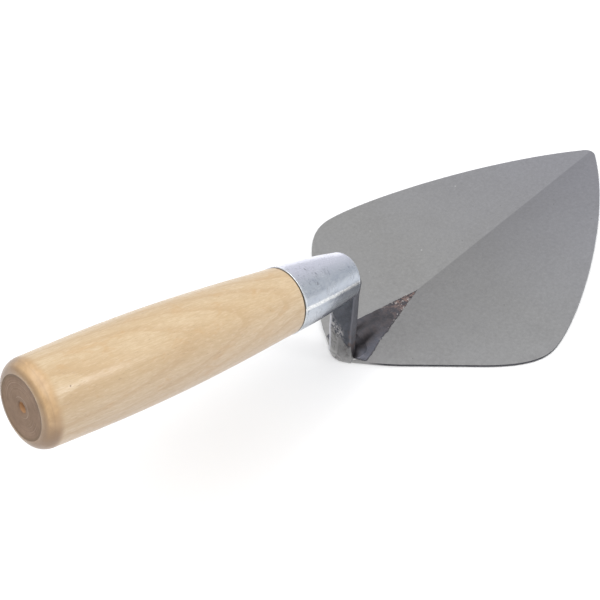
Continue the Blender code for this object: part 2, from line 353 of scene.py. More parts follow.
def add_blade(mesh):
    def columns(y, width):
        """The x of each point on the +X half of a row: one group in the V and one beside it."""
        flat = max(width - RIM_BEVEL, width * 0.5)
        inner = min(max(v_half_width(y), 0.03 * flat), 0.75 * flat)
        across = [inner * i / INNER_COLUMNS for i in range(INNER_COLUMNS + 1)]
        return across + [mix(inner, flat, i / OUTER_COLUMNS) for i in range(1, OUTER_COLUMNS + 1)]

    def top_vertex(x, y):
        """A point of the top face, with a faint waviness that is stronger on the scale."""
        z = blade_top(x, y) + 0.00003 * bumps((x, y, 0), 0.016, 3.1)
        z += 0.00004 * bumps((x, y, 0), 0.004, 7.7) * smooth(v_depth(x, y), 0, 1.5)
        return mesh.add((x, y, z), v_depth(x, y), 0.0, crease_shade_mask(x, y))

    previous = None
    for y in blade_rows():
        width = half_width(y)
        across = columns(y, width)
        line = [top_vertex(-x, y) for x in across[:0:-1]] + [top_vertex(x, y) for x in across]
        edge = []
        for side in (-1, 1):
            depth = v_depth(width, y)
            high = mesh.add((side * width, y, EDGE_THICKNESS - RIM_BEVEL), depth, 1.0)
            low = mesh.add((side * width, y, RIM_BEVEL), NO_SCALE, 1.0)
            base = mesh.add((side * (width - RIM_BEVEL), y, 0.0), NO_SCALE, 0.35)
            edge.append((high, low, base))
        middle = mesh.add((0, y, 0), NO_SCALE, 0.0)
        left, right = edge
        ring = [left[1], left[0], *line, *right, middle, left[2]]
        if previous:
            for i in range(len(ring)):
                j = (i + 1) % len(ring)
                mesh.face(previous[i], previous[j], ring[j], ring[i])
        else:
            cap = mesh.add((0, TIP_APEX_Y, EDGE_THICKNESS / 2), NO_SCALE, 1.0)
            for i in range(len(ring)):
                mesh.face(cap, ring[(i + 1) % len(ring)], ring[i])
        previous = ring
    cap = mesh.add((0, HEEL_APEX_Y, EDGE_THICKNESS / 2), 2.0, 1.0)
    for i in range(len(previous)):
        mesh.face(cap, previous[i], previous[(i + 1) % len(previous)])


# ---------------- shank, bend and tang

SHANK_HALF_WIDTH = 0.00625
# The shank's front and back faces: (z, y).
SHANK_FRONT = (
    (0, -0.0596),
    (0.008, -0.0587),
    (0.015, -0.05775),
    (0.0216, -0.05685),
    (0.036, -0.055),
)
SHANK_BACK = ((0, -0.0631), (0.006, -0.063), (0.014, -0.0628), (0.0195, -0.062), (0.036, -0.0592))
SHANK_FOOT_Z = 0.001
SHANK_WALL_TOP_Z = 0.0165
SHANK_TOP_Z = 0.036
SHANK_FLARE = 0.0008
SHANK_FLARE_HEIGHT = 0.0028
# On the shank's back the scale has been ground away up to this height: (x, z).
GROUND_LINE = (
    (-0.006, 0.0172),
    (-0.0038, 0.0149),
    (-0.0015, 0.0123),
    (0.002, 0.0114),
    (0.0051, 0.0092),
)
GROUND_LINE_BLUR = 0.36
BEND_RADIUS = 0.004
TANG_NECK = (0.0092, 0.0048)
TANG_MIDDLE = (0.0075, 0.0046)
TANG_END = (0.004, 0.003)
TANG_MIDDLE_AT = 0.037
TANG_LENGTH = 0.1
SHANK_CORNER = 0.001
TANG_CORNER = 0.0014
CORNER_STEPS = 6
BROAD_STEPS = 10
NARROW_STEPS = 5
SKIRT_STEPS = 9
WALL_STEPS = 10
STRAIGHT_STEPS = 12
BEND_STEPS = 12
ROOM_STEP = 0.0002
HEEL_PROUD = 0.00004
HEEL_SOFTNESS = 0.0005
HEEL_REACH = 0.0052  # The height over which the shank's back leaves the heel's line.
WALL_SPREAD = 1.15


def bar_section(half_w, half_d, radius):
    """(place, outward direction) round a rounded rectangle, always with the same points."""
    radius = min(radius, half_w * 0.98, half_d * 0.98)
    section = []
    for quarter in range(4):
        start = math.pi / 2 * quarter
        sign_w = math.copysign(1, math.cos(start + math.pi / 4))
        sign_d = math.copysign(1, math.sin(start + math.pi / 4))
        centre = Vector((sign_w * (half_w - radius), sign_d * (half_d - radius)))
        for i in range(CORNER_STEPS + 1):
            turn = start + math.pi / 2 * i / CORNER_STEPS
            out = Vector((math.cos(turn), math.sin(turn)))
            section.append((centre + out * radius, out))
        turn = start + math.pi / 2
        out = Vector((math.cos(turn), math.sin(turn)))
        steps = BROAD_STEPS if quarter % 2 == 0 else NARROW_STEPS
        here = centre + out * radius
        if quarter % 2 == 0:
            there = Vector((-here.x, here.y))
        else:
            there = Vector((here.x, -here.y))
        for i in range(1, steps):
            section.append((here.lerp(there, i / steps), out))
    return section


def shank_section(z):
    """The shank's cross-section at z. Near the blade its back spreads to follow the heel."""
    front, back = table(SHANK_FRONT, z), table(SHANK_BACK, z)
    half_w = SHANK_HALF_WIDTH + SHANK_FLARE * math.exp(-z / SHANK_FLARE_HEIGHT)
    half_d = (front - back) / 2
    heel_share = math.exp(-((z / HEEL_REACH) ** 1.15))
    section = []
    for place, out in bar_section(half_w, half_d, SHANK_CORNER):
        y = (front + back) / 2 + place.y
        backness = clamp((back + half_d - y) / half_d)
        heel = heel_line(place.x) - HEEL_PROUD
        reach = (math.hypot(y - heel, HEEL_SOFTNESS) + y - heel) / 2
        y -= reach * heel_share * backness**0.7
        section.append((Vector((place.x, y)), out))
    return section


def skirt_radius(out):
    """The concave radius at the shank's foot: broad in front, small at the sides, none behind."""
    front = clamp(out.y)
    back = clamp(-out.y)
    side = abs(out.x)
    return 0.0085 * front**3 + 0.0014 * side**1.5 + 0.0002 * back


def skirt_radii(foot):
    """The concave radius at each point of the foot, cut back where the blade's edge is near."""
    radii = []
    for place, out in foot:
        wanted = skirt_radius(out)
        room = 0.0
        while room < wanted:
            spot = place + out * (room + ROOM_STEP)
            if abs(spot.x) > half_width(spot.y) - ROOM_STEP:
                break
            room += ROOM_STEP
        radii.append(max(min(wanted, room), ROOM_STEP))
    for _ in range(3):
        around = zip(radii[-1:] + radii[:-1], radii, radii[1:] + radii[:1])
        radii = [min(here, (before + 2 * here + after) / 4) for before, here, after in around]
    return radii


def skirt_rings():
    """Rings of (point, outward direction, painted crease shade) from the blade up the concave foot.
    """
    foot = shank_section(SHANK_FOOT_Z)
    radii = skirt_radii(foot)
    rings = []
    for k in range(SKIRT_STEPS + 1):
        t = k / SKIRT_STEPS
        angle = t * math.pi / 2
        ring = []
        for i, (place, out) in enumerate(foot):
            away = radii[i] * (1 - math.sin(angle))
            lift = radii[i] * (1 - math.cos(angle))
            backness = smooth(-out.y, 0.15, 0.75)
            spot = shank_section(SHANK_FOOT_Z + lift)[i][0] + out * away
            ground = blade_top(spot.x, spot.y) - 0.00006 * (1 - t) ** 4
            z = mix(ground, mix(0.0, 0.0012, t), backness) + lift
            # Painted shade in the concave foot: strongest along the sides and low down, none
            # behind.
            crease_shade = math.exp(-((away / 0.0016) ** 2)) * smooth(abs(out.x), 0.3, 0.9)
            crease_shade = max(crease_shade, crease_shade_mask(spot.x, spot.y), 0.6 * (1 - t) ** 3)
            ring.append((Vector((spot.x, spot.y, z)), out, crease_shade * (1 - backness)))
        rings.append(ring)
    return rings


def bar_rings(bases):
    """The same rings from the top of the foot, at the heights in bases, to the bend."""
    rings = []
    for k in range(1, WALL_STEPS + 1):
        t = (k / WALL_STEPS) ** WALL_SPREAD
        ring = []
        for i, base in enumerate(bases):
            z = mix(base, SHANK_WALL_TOP_Z, t)
            place, out = shank_section(z)[i]
            # Painted shade low on the shank's sides and front, where they meet the blade.
            crease_shade = 0.6 * math.exp(-(((z - base) / 0.004) ** 2)) * smooth(abs(out.x), 0.3, 0.9)
            crease_shade *= 1 - smooth(-out.y, 0.1, 0.5)
            ring.append((Vector((place.x, place.y, z)), out, crease_shade))
        rings.append(ring)
    for k in range(1, STRAIGHT_STEPS + 1):
        z = mix(SHANK_WALL_TOP_Z, SHANK_TOP_Z, k / STRAIGHT_STEPS)
        rings.append([(Vector((p.x, p.y, z)), out, 0.0) for p, out in shank_section(z)])
    return rings


def bend_stations():
    """(centre, outward direction of the front face, half width, half depth) to the tang's end."""
    axis = Vector((0, -math.cos(GRIP_CLIMB), math.sin(GRIP_CLIMB)))
    up = Vector((0, math.sin(GRIP_CLIMB), math.cos(GRIP_CLIMB)))
    bend_centre = GRIP_FRONT - axis * FIT_GAP - up * BEND_RADIUS
    last_depth = (table(SHANK_FRONT, SHANK_TOP_Z) - table(SHANK_BACK, SHANK_TOP_Z)) / 2
    neck_w, neck_d = TANG_NECK[0] / 2, TANG_NECK[1] / 2
    stations = []
    for k in range(BEND_STEPS + 1):
        t = k / BEND_STEPS
        angle = mix(0, math.pi / 2 - GRIP_CLIMB, t)
        out = Vector((0, math.cos(angle), math.sin(angle)))
        half_w = mix(SHANK_HALF_WIDTH, neck_w, smooth(t, 0.1, 1.0))
        half_d = mix(last_depth, neck_d, t)
        stations.append((bend_centre + out * BEND_RADIUS, out, half_w, half_d))
    for at, size in (
        (FERRULE_FRONT_WALL, TANG_NECK),
        (TANG_MIDDLE_AT, TANG_MIDDLE),
        (TANG_LENGTH, TANG_END),
    ):
        stations.append((GRIP_FRONT + axis * at, up, size[0] / 2, size[1] / 2))
    return stations


def dent(point):
    """How far the hammered surface stands proud at a point."""
    return 0.0001 * bumps(point, 0.0045, 1.3) + 0.00004 * bumps(point, 0.0016, 5.9)


def add_shank(mesh):
    rings = skirt_rings()
    rings += bar_rings([point.z for point, _, _ in rings[-1]])
    rows = []
    for ring in rings:
        row = []
        for point, out, crease_shade in ring:
            spot = point + out.to_3d() * (dent(point) * smooth(point.z, 0.0012, 0.006))
            above_line = (point.z - table(GROUND_LINE, point.x)) / MM * GROUND_LINE_BLUR
            on_heel = smooth(heel_line(spot.x) - spot.y, -0.0016, -0.0006)
            behind = max(smooth(-out.y, 0.25, 0.65), on_heel)
            forged = mix(ALL_SCALE, min(above_line, ALL_SCALE), behind)
            # The shank's rear-left corner: edge wear and a painted highlight.
            corner = smooth(-point.x, 0.0046, 0.0053) if out.y < -0.2 else 0.0
            row.append(mesh.add(spot, forged, 0.0, crease_shade, corner))
        rows.append(row)
    for centre, deep, half_w, half_d in bend_stations():
        row = []
        corner = mix(SHANK_CORNER, TANG_CORNER, smooth(deep.z, 0.0, 0.9))
        for place, out in bar_section(half_w, half_d, corner):
            spot = centre + Vector((place.x, 0, 0)) + deep * place.y
            outward = Vector((out.x, 0, 0)) + deep * out.y
            row.append(mesh.add(spot + outward * dent(spot) * 0.6, ALL_SCALE))
        rows.append(row)
    for row, after in zip(rows, rows[1:]):
        for i in range(len(row)):
            j = (i + 1) % len(row)
            mesh.face(row[i], row[j], after[j], after[i])
    mesh.faces.append(rows[0][::-1])
    mesh.faces.append(rows[-1])


def finish_mesh(name, mesh, sharp=40, place=Matrix.Identity(4)):
    """The object, set in place. Its own_place attribute keeps the points as they were modelled."""
    data = bpy.data.meshes.new(name)
    data.from_pydata([place @ point for point in mesh.points], [], mesh.faces)
    for mask, values in mesh.masks.items():
        data.attributes.new(mask, "FLOAT", "POINT").data.foreach_set("value", values)
    own = data.attributes.new("own_place", "FLOAT_VECTOR", "POINT")
    own.data.foreach_set("vector", [number for point in mesh.points for number in point])
    data.validate()
    data.shade_smooth()
    data.set_sharp_from_angle(angle=math.radians(sharp))
    obj = bpy.data.objects.new(name, data)
    bpy.context.scene.collection.objects.link(obj)
    return obj


def make_forging():
    mesh = Builder()
    add_blade(mesh)
    add_shank(mesh)
    return finish_mesh("forged_blade", mesh)


# ---------------- turned pieces


def ferrule_radius(at):
    """The outside radius at a distance from the ferrule's front."""
    share = clamp(at / FERRULE_LENGTH)
    cone = mix(FERRULE_FRONT_RADIUS, FERRULE_REAR_RADIUS, share)
    return cone + 4 * FERRULE_BULGE * share * (1 - share)


def wood_radius(share):
    """The barrel's radius from the ferrule (0) to the butt's rounding (1), a smooth curve."""
    values = [2 * WOOD_RADII[0] - WOOD_RADII[1], *WOOD_RADII, 2 * WOOD_RADII[-1] - WOOD_RADII[-2]]
    place = clamp(share) * (len(WOOD_RADII) - 1)
    i = min(int(place), len(WOOD_RADII) - 2)
    t = place - i
    a, b, c, d = values[i : i + 4]
    square, cube = 2 * a - 5 * b + 4 * c - d, 3 * b - a - 3 * c + d
    return b + ((c - a) * t + square * t**2 + cube * t**3) / 2


def turned(name, profile, steps, wobble):
    """A surface turned from (radius, distance, share of the wobble) points, with its own Z
    down the grip's axis from the ferrule's front."""
    mesh = Builder()
    rows = []
    for radius, at, moves in profile:
        if radius == 0:
            rows.append([mesh.add((0, 0, at))] * steps)
            continue
        row = []
        for i in range(steps):
            angle = 2 * math.pi * i / steps
            out = Vector((math.cos(angle), math.sin(angle), 0))
            point = out * radius + Vector((0, 0, at))
            row.append(mesh.add(point - out * wobble(point) * moves))
        rows.append(row)
    for row, after in zip(rows, rows[1:]):
        for i in range(steps):
            j = (i + 1) % steps
            mesh.face(row[i], after[i], after[j], row[j])
    turn = Euler((math.pi / 2 - GRIP_CLIMB, 0, 0)).to_matrix().to_4x4()
    return finish_mesh(name, mesh, 50, Matrix.Translation(GRIP_FRONT) @ turn)


def make_ferrule():
    lip, lip_proud, lip_round, lip_rise = 0.0009, 0.0001, 0.00022, 0.0004
    outside = []
    steps = 60
    for i in range(steps + 1):
        at = mix(FERRULE_EDGE_RADIUS, FERRULE_LENGTH - lip_round, i / steps)
        swell = lip_proud * smooth(at, FERRULE_LENGTH - lip - lip_rise, FERRULE_LENGTH - lip)
        outside.append((ferrule_radius(at) + swell, at, 1.0))
    lip_edge = []
    for i in range(1, 5):
        angle = math.pi / 2 * i / 4
        radius = ferrule_radius(FERRULE_LENGTH) + lip_proud - lip_round * (1 - math.cos(angle))
        lip_edge.append((radius, FERRULE_LENGTH - lip_round * (1 - math.sin(angle)), 0.0))
    edge = []
    for i in range(8, 0, -1):
        angle = math.pi / 2 * i / 8
        radius = ferrule_radius(FERRULE_EDGE_RADIUS) - FERRULE_EDGE_RADIUS * (1 - math.cos(angle))
        edge.append((radius, FERRULE_EDGE_RADIUS * (1 - math.sin(angle)), 0.3))
    inner_edge = 0.0003
    hole = [
        (FERRULE_HOLE_RADIUS, FERRULE_FRONT_WALL, 0.0),
        (FERRULE_HOLE_RADIUS, inner_edge, 0.0),
        (FERRULE_HOLE_RADIUS + inner_edge, 0.0, 0.0),
    ]
    inside = []
    for i in range(13):
        at = mix(FERRULE_LENGTH, FERRULE_FRONT_WALL, i / 12)
        inside.append((ferrule_radius(at) - FERRULE_WALL, at, 0.0))
    profile = inside + hole + edge + outside + lip_edge
    profile = [*profile, profile[0]]

    def wobble(point):
        return 0.00006 + 0.00004 * bumps(point, 0.009, 4.2) + 0.00002 * bumps(point, 0.0035, 8.4)

    return turned("tapered_ferrule", profile, 128, wobble)


def make_grip():
    end = FERRULE_LENGTH + WOOD_LENGTH
    start = FERRULE_LENGTH + FIT_GAP
    front_round = 0.00025
    profile = [
        (0.0, BORE_LENGTH + BORE_END_RADIUS / 2, 0.0),
        (BORE_END_RADIUS, BORE_LENGTH, 0.0),
        (BORE_MOUTH_RADIUS, FERRULE_FRONT_WALL + FIT_GAP, 0.0),
    ]
    for i in range(9):
        at = mix(FERRULE_FRONT_WALL + FIT_GAP, start, i / 8)
        profile.append((ferrule_radius(at) - FERRULE_WALL - FIT_GAP, at, 0.0))
    for i in range(5):
        angle = math.pi / 2 * i / 4
        radius = wood_radius(0) - front_round * (1 - math.sin(angle))
        profile.append((radius, start + front_round * (1 - math.cos(angle)), 0.0))
    steps = 90
    for i in range(1, steps):
        share = i / steps
        at = mix(start, end - BUTT_ROUNDING, share)
        profile.append((wood_radius(share), at, smooth(share, 0, 0.06)))
    round_steps = 16
    for i in range(round_steps + 1):
        angle = math.pi / 2 * (1 - i / round_steps)
        radius = mix(BUTT_FLAT_RADIUS, WOOD_RADII[-1], math.sin(angle))
        profile.append((radius, end - BUTT_ROUNDING * (1 - math.cos(angle)), math.sin(angle)))
    for radius, dip in BUTT_RINGS:
        profile.append((radius, end - dip, 0.0))
    mouth = 0.0004
    profile += [
        (LATHE_HOLE_RADIUS + mouth, end - 0.00016, 0.0),
        (LATHE_HOLE_RADIUS, end - 0.0005, 0.0),
        (LATHE_HOLE_RADIUS * 0.95, end - LATHE_HOLE_DEPTH + LATHE_HOLE_RADIUS, 0.0),
        (0.0, end - LATHE_HOLE_DEPTH, 0.0),
    ]

    def wobble(point):
        return 0.00007 + 0.00004 * bumps((point.x, point.y, point.z / 4), 0.008, 6.1)

    return turned("turned_grip", profile, 144, wobble)


# ---------------- materials

WHITE = (1.0, 1.0, 1.0)
NO_TURN = (0, 0, 0)
# Directions across the grip, away from the light and towards it, where painted shade and painted
# light go: (x, y) in its own frame.
LOW_SIDE = (0.75, -0.66)
TOP_SIDE = (-0.68, 0.73)


class Paint:
    """A material's node tree, built up by short calls. Its coordinates are own_place."""

    def __init__(self, name):
        self.material = bpy.data.materials.new(name)
        self.material.use_nodes = True
        self.tree = self.material.node_tree
        self.shader = self.tree.nodes["Principled BSDF"]
        self.place = self.node("ShaderNodeAttribute", attribute_name="own_place").outputs["Vector"]

    def node(self, kind, **settings):
        made = self.tree.nodes.new(kind)
        for name, value in settings.items():
            setattr(made, name, value)
        return made

    def put(self, socket, value):
        """Link a socket, or set it to a constant."""
        if isinstance(value, bpy.types.NodeSocket):
            self.tree.links.new(value, socket)
        elif socket.type == "RGBA":
            socket.default_value = (*value, 1.0)
        else:
            socket.default_value = value

    def math(self, operation, *values):
        made = self.node("ShaderNodeMath", operation=operation)
        for socket, value in zip(made.inputs, values):
            self.put(socket, value)
        return made.outputs[0]

    def add(self, a, b):
        return self.math("ADD", a, b)

    def times(self, a, b):
        return self.math("MULTIPLY", a, b)

    def size(self, a):
        return self.math("ABSOLUTE", a)

    def total(self, *parts):
        """The sum of (value, weight) parts."""
        whole = self.times(*parts[0])
        for part in parts[1:]:
            whole = self.add(whole, self.times(*part))
        return whole

    def along(self, x, y, direction):
        """How far a point lies in a direction (x, y)."""
        return self.total((x, direction[0]), (y, direction[1]))

    def from_axis(self, x, y):
        return self.math("SQRT", self.total((x, x), (y, y)))

    def ramp(self, kind, *values):
        made = self.node("ShaderNodeMapRange", interpolation_type=kind)
        names = ("Value", "From Min", "From Max", "To Min", "To Max")
        for name, value in zip(names, values):
            self.put(made.inputs[name], value)
        return made.outputs["Result"]

    def step(self, x, low, high, to_low=0.0, to_high=1.0):
        """An S-curve from to_low, where x is low, to to_high, where x is high."""
        return self.ramp("SMOOTHSTEP", x, low, high, to_low, to_high)

    def line(self, x, low, high, to_low=0.0, to_high=1.0):
        """The same as a straight line."""
        return self.ramp("LINEAR", x, low, high, to_low, to_high)

    def mix(self, factor, a, b, blend="MIX"):
        made = self.node("ShaderNodeMix", data_type="RGBA", blend_type=blend)
        made.clamp_factor = True
        for index, value in ((0, factor), (6, a), (7, b)):
            self.put(made.inputs[index], value)
        return made.outputs[2]

    def tint(self, base, mask, most, tone):
        """The base blended towards a tone by the mask, at most by the share given."""
        return self.mix(self.times(mask, most), base, tone)

    def shade(self, base, mask, tone):
        """The base multiplied by a tone where the mask is 1."""
        return self.mix(1.0, base, self.mix(mask, WHITE, tone), "MULTIPLY")

    def scaled(self, sizes, turn, vector):
        """Coordinates counted in features of these sizes, in metres, after a turn."""
        made = self.node("ShaderNodeMapping", vector_type="TEXTURE")
        self.put(made.inputs["Vector"], vector or self.place)
        made.inputs["Rotation"].default_value = turn
        made.inputs["Scale"].default_value = sizes if isinstance(sizes, tuple) else [sizes] * 3
        return made.outputs["Vector"]

    def noise(
        self, sizes, detail=2.0, rough=0.5, distortion=0.0, turn=NO_TURN, vector=None, shift=0.0
    ):
        """Noise from 0 to 1 with features of these sizes. Each shift is another pattern."""
        made = self.node("ShaderNodeTexNoise", noise_dimensions="4D")
        self.put(made.inputs["Vector"], self.scaled(sizes, turn, vector))
        names = ("W", "Scale", "Detail", "Roughness", "Distortion")
        for name, value in zip(names, (shift, 1.0, detail, rough, distortion)):
            made.inputs[name].default_value = value
        return made.outputs["Fac"]

    def cells(self, sizes, turn=NO_TURN):
        """The distance to the nearest of many scattered points, counted in these sizes."""
        made = self.node("ShaderNodeTexVoronoi")
        self.put(made.inputs["Vector"], self.scaled(sizes, turn, None))
        made.inputs["Scale"].default_value = 1.0
        return made.outputs["Distance"]

    def vector(self, x):
        made = self.node("ShaderNodeCombineXYZ")
        self.put(made.inputs[0], x)
        return made.outputs[0]

    def mask(self, name):
        return self.node("ShaderNodeAttribute", attribute_name=name).outputs["Fac"]

    def parts(self):
        made = self.node("ShaderNodeSeparateXYZ")
        self.put(made.inputs[0], self.place)
        return made.outputs

    def bump(self, height, distance, strength, after=None):
        made = self.node("ShaderNodeBump")
        made.inputs["Strength"].default_value = strength
        made.inputs["Distance"].default_value = distance
        self.put(made.inputs["Height"], height)
        if after is not None:
            self.put(made.inputs["Normal"], after)
        return made.outputs["Normal"]

    def set(self, **sockets):
        for name, value in sockets.items():
            self.put(self.shader.inputs[name.replace("_", " ")], value)


def ground_steel(mat, x, y, z):
    """Colour, roughness and relief of the grind: satin, cloudy, with painted shade on the +X side.
    """
    cloud = mat.noise(0.03, 3.0, 0.55, 0.4)
    patch = mat.noise(0.0075, 3.0, 0.6, 0.2, shift=2.0)
    blot = mat.noise(0.0017, 3.0, 0.65, shift=21.0)
    grain = mat.noise(0.0006, 2.0, 0.6, shift=9.0)
    turn, cross_turn = (0, 0, math.radians(100)), (0, 0, math.radians(-30))
    grind = mat.noise((0.0045, 0.0003, 0.01), 2.0, 0.6, turn=turn)
    cross = mat.noise((0.004, 0.0003, 0.01), 2.0, 0.6, turn=cross_turn, shift=5.0)
    marks = mat.total((grind, 0.5), (cross, 0.5))
    cloud = mat.step(cloud, 0.36, 0.64)
    base = mat.mix(cloud, (0.41, 0.405, 0.396), (0.452, 0.45, 0.446))
    base = mat.mix(mat.line(patch, 0.3, 0.7, 0.0, 0.6), base, (0.405, 0.4, 0.386))
    base = mat.mix(mat.line(marks, 0.35, 0.75, 0.0, 0.65), base, (0.335, 0.332, 0.328))
    base = mat.mix(mat.line(blot, 0.3, 0.72, 0.0, 0.62), base, (0.52, 0.516, 0.508))
    base = mat.mix(mat.line(grain, 0.35, 0.75, 0.0, 0.4), base, (0.33, 0.327, 0.322))

    # Painted shade: the +X side of the ridge, which faces away from the light, is painted darker
    # beside it.
    across = mat.line(mat.add(x, mat.times(y, 0.1)), 0.0, 0.05)
    right = mat.mix(across, (0.775, 0.772, 0.782), (0.945, 0.95, 0.965))
    side = mat.times(mat.step(x, -0.0003, 0.0003), mat.step(z, 0.0002, 0.001))
    base = mat.shade(base, side, right)
    base = mat.shade(base, mat.line(y, 0.01, 0.115), (0.985, 0.99, 1.07))
    nick = mat.step(mat.cells(0.012), 0.05, 0.03)
    base = mat.tint(base, nick, 0.6, (0.8, 0.8, 0.79))
    pit = mat.step(mat.cells((0.009, 0.011, 0.01), (0.3, 0.2, 0.9)), 0.045, 0.03)
    base = mat.tint(base, pit, 0.5, (0.14, 0.135, 0.13))

    # The shank's ground foot is darker and smudged.
    foot = mat.step(z, 0.0015, 0.006)
    foot_tone = mat.mix(patch, (0.5, 0.5, 0.5), (0.8, 0.8, 0.81))
    foot_tone = mat.mix(foot, WHITE, foot_tone)
    base = mat.shade(base, mat.step(y, -0.056, -0.062), foot_tone)
    smudge = mat.step(mat.noise(0.0026, 4.0, 0.7, 0.6, shift=35.0), 0.48, 0.6)
    base = mat.tint(base, mat.times(smudge, foot), 0.65, (0.105, 0.098, 0.095))

    rough = mat.line(mat.add(patch, mat.times(blot, 0.5)), 0.4, 1.1, 0.33, 0.46)
    return base, rough, mat.total((marks, 0.5), (grain, 0.5))


def forging_scale(mat, x, y, z, forged, ragged):
    """Colour, roughness and relief of the scale: dark, rusty and rubbed near the V's tip."""
    tone = mat.noise(0.006, 3.0, 0.6, 0.3, shift=1.0)
    speck = mat.noise(0.0011, 3.0, 0.65, shift=6.0)
    cloud = mat.step(tone, 0.35, 0.65)
    base = mat.mix(cloud, (0.074, 0.071, 0.078), (0.108, 0.103, 0.114))
    base = mat.mix(mat.line(speck, 0.4, 0.75, 0.0, 0.45), base, (0.15, 0.144, 0.152))
    # Painted reflection: the V's outer facets are painted lighter and bluer, as if they caught the
    # sky.
    rib_edge = mat.line(y, -0.062, -0.042, 0.0068, 0.0034)
    sky_lit_facet = mat.step(mat.size(x), rib_edge, 0.0085)
    sky_lit_facet = mat.times(sky_lit_facet, mat.step(y, -0.03, -0.048))
    base = mat.tint(base, sky_lit_facet, 0.8, (0.15, 0.156, 0.186))
    near_tip = mat.step(y, -0.034, -0.02)
    rust = mat.step(mat.noise(0.0026, 3.0, 0.7, 0.6, shift=4.0), 0.44, 0.58)
    rust = mat.times(rust, mat.add(mat.times(near_tip, 0.85), 0.1))
    base = mat.mix(rust, base, (0.3, 0.215, 0.195))
    near_edge = mat.step(mat.size(ragged), 1.4, 0.3, 0.0, 0.35)
    rub_wear_and_sheen = mat.step(mat.noise(0.0016, 2.0, 0.6, 0.4, shift=8.0), 0.57, 0.66)
    rub_wear_and_sheen = mat.times(rub_wear_and_sheen, mat.add(mat.times(near_tip, 0.8), near_edge))
    base = mat.mix(rub_wear_and_sheen, base, (0.58, 0.54, 0.52))

    # The shank's scale is bluer. It is chipped above the ground line and rusty on one corner.
    shank = mat.mix(cloud, (0.066, 0.07, 0.082), (0.098, 0.105, 0.124))
    shank = mat.mix(mat.line(speck, 0.45, 0.8, 0.0, 0.4), shank, (0.17, 0.175, 0.19))
    chips = mat.step(mat.noise(0.0013, 3.0, 0.68, 0.9, shift=28.0), 0.47, 0.54)
    chips = mat.times(chips, mat.step(forged, 3.2, 0.7))
    chips = mat.times(chips, mat.step(x, 0.004, 0.001, 0.0, 0.9))
    shank = mat.mix(chips, shank, (0.44, 0.43, 0.43))
    # Painted light: the shank's side faces are painted lighter than the rest of its scale.
    painted_light_side = mat.step(mat.size(x), 0.0056, 0.0062)
    shank = mat.tint(shank, painted_light_side, 0.6, (0.195, 0.195, 0.215))
    corner = mat.times(mat.step(x, 0.004, 0.0056), mat.step(z, 0.026, 0.006))
    corner_rust = mat.step(mat.noise(0.0022, 3.0, 0.65, shift=33.0), 0.44, 0.6)
    shank = mat.tint(shank, mat.times(corner, corner_rust), 0.7, (0.15, 0.11, 0.095))
    base = mat.mix(mat.step(z, 0.004, 0.009), base, shank)

    outline = mat.step(mat.size(ragged), 0.65, 0.12)
    base = mat.tint(base, outline, 0.4, (0.05, 0.045, 0.045))
    # Painted shade: the creases round the V's rib and at the shank's foot are painted near black.
    base = mat.tint(base, mat.mask("crease_shade"), 0.95, (0.022, 0.02, 0.022))
    rough = mat.line(speck, 0.3, 0.7, 0.38, 0.6)
    return base, rough, mat.add(speck, mat.times(tone, 1.5))


def steel_material():
    mat = Paint("ground_and_forged_steel")
    x, y, z = mat.parts()
    forged = mat.mask("forged")
    ragged = forged
    for size, detail, shift, reach in ((0.0011, 3.0, 0.0, 1.2), (0.0042, 2.0, 3.0, 1.3)):
        wander = mat.add(mat.noise(size, detail, 0.6, shift=shift), -0.5)
        ragged = mat.add(ragged, mat.times(wander, reach))
    dark = mat.step(ragged, -0.2, 0.2)
    ground, ground_rough, ground_relief = ground_steel(mat, x, y, z)
    scale, scale_rough, scale_relief = forging_scale(mat, x, y, z, forged, ragged)
    base = mat.mix(dark, ground, scale)
    # Edge wear and a painted highlight: the shank's rear-left corner is painted pale and lilac,
    # broken up by noise.
    rub_and_glint = mat.step(mat.noise(0.0022, 3.0, 0.6, shift=31.0), 0.3, 0.5, 0.35, 1.0)
    base = mat.tint(base, mat.times(mat.mask("worn_edge_and_highlight"), rub_and_glint), 0.9, (0.64, 0.64, 0.68))
    # Painted shade: the blade's edge wall is painted near black everywhere but at the heel, as a
    # wall in shadow.
    rim_shade_cloud = mat.step(mat.noise(0.003, 2.0, 0.5), 0.3, 0.7)
    rim_shade_tone = mat.mix(rim_shade_cloud, (0.045, 0.045, 0.052), (0.085, 0.085, 0.095))
    rim = mat.times(mat.step(mat.mask("rim"), 0.72, 0.95), mat.step(y, -0.06, -0.054))
    base = mat.mix(rim, base, rim_shade_tone)
    bare = mat.math("SUBTRACT", 1.0, dark)
    rough = mat.add(mat.times(ground_rough, bare), mat.times(scale_rough, dark))
    fine = mat.bump(ground_relief, 0.00002, 0.4)
    normal = mat.bump(mat.times(scale_relief, dark), 0.00022, 0.8, fine)
    mat.set(Base_Color=base, Roughness=rough, Metallic=1.0, Normal=normal)
    return mat.material


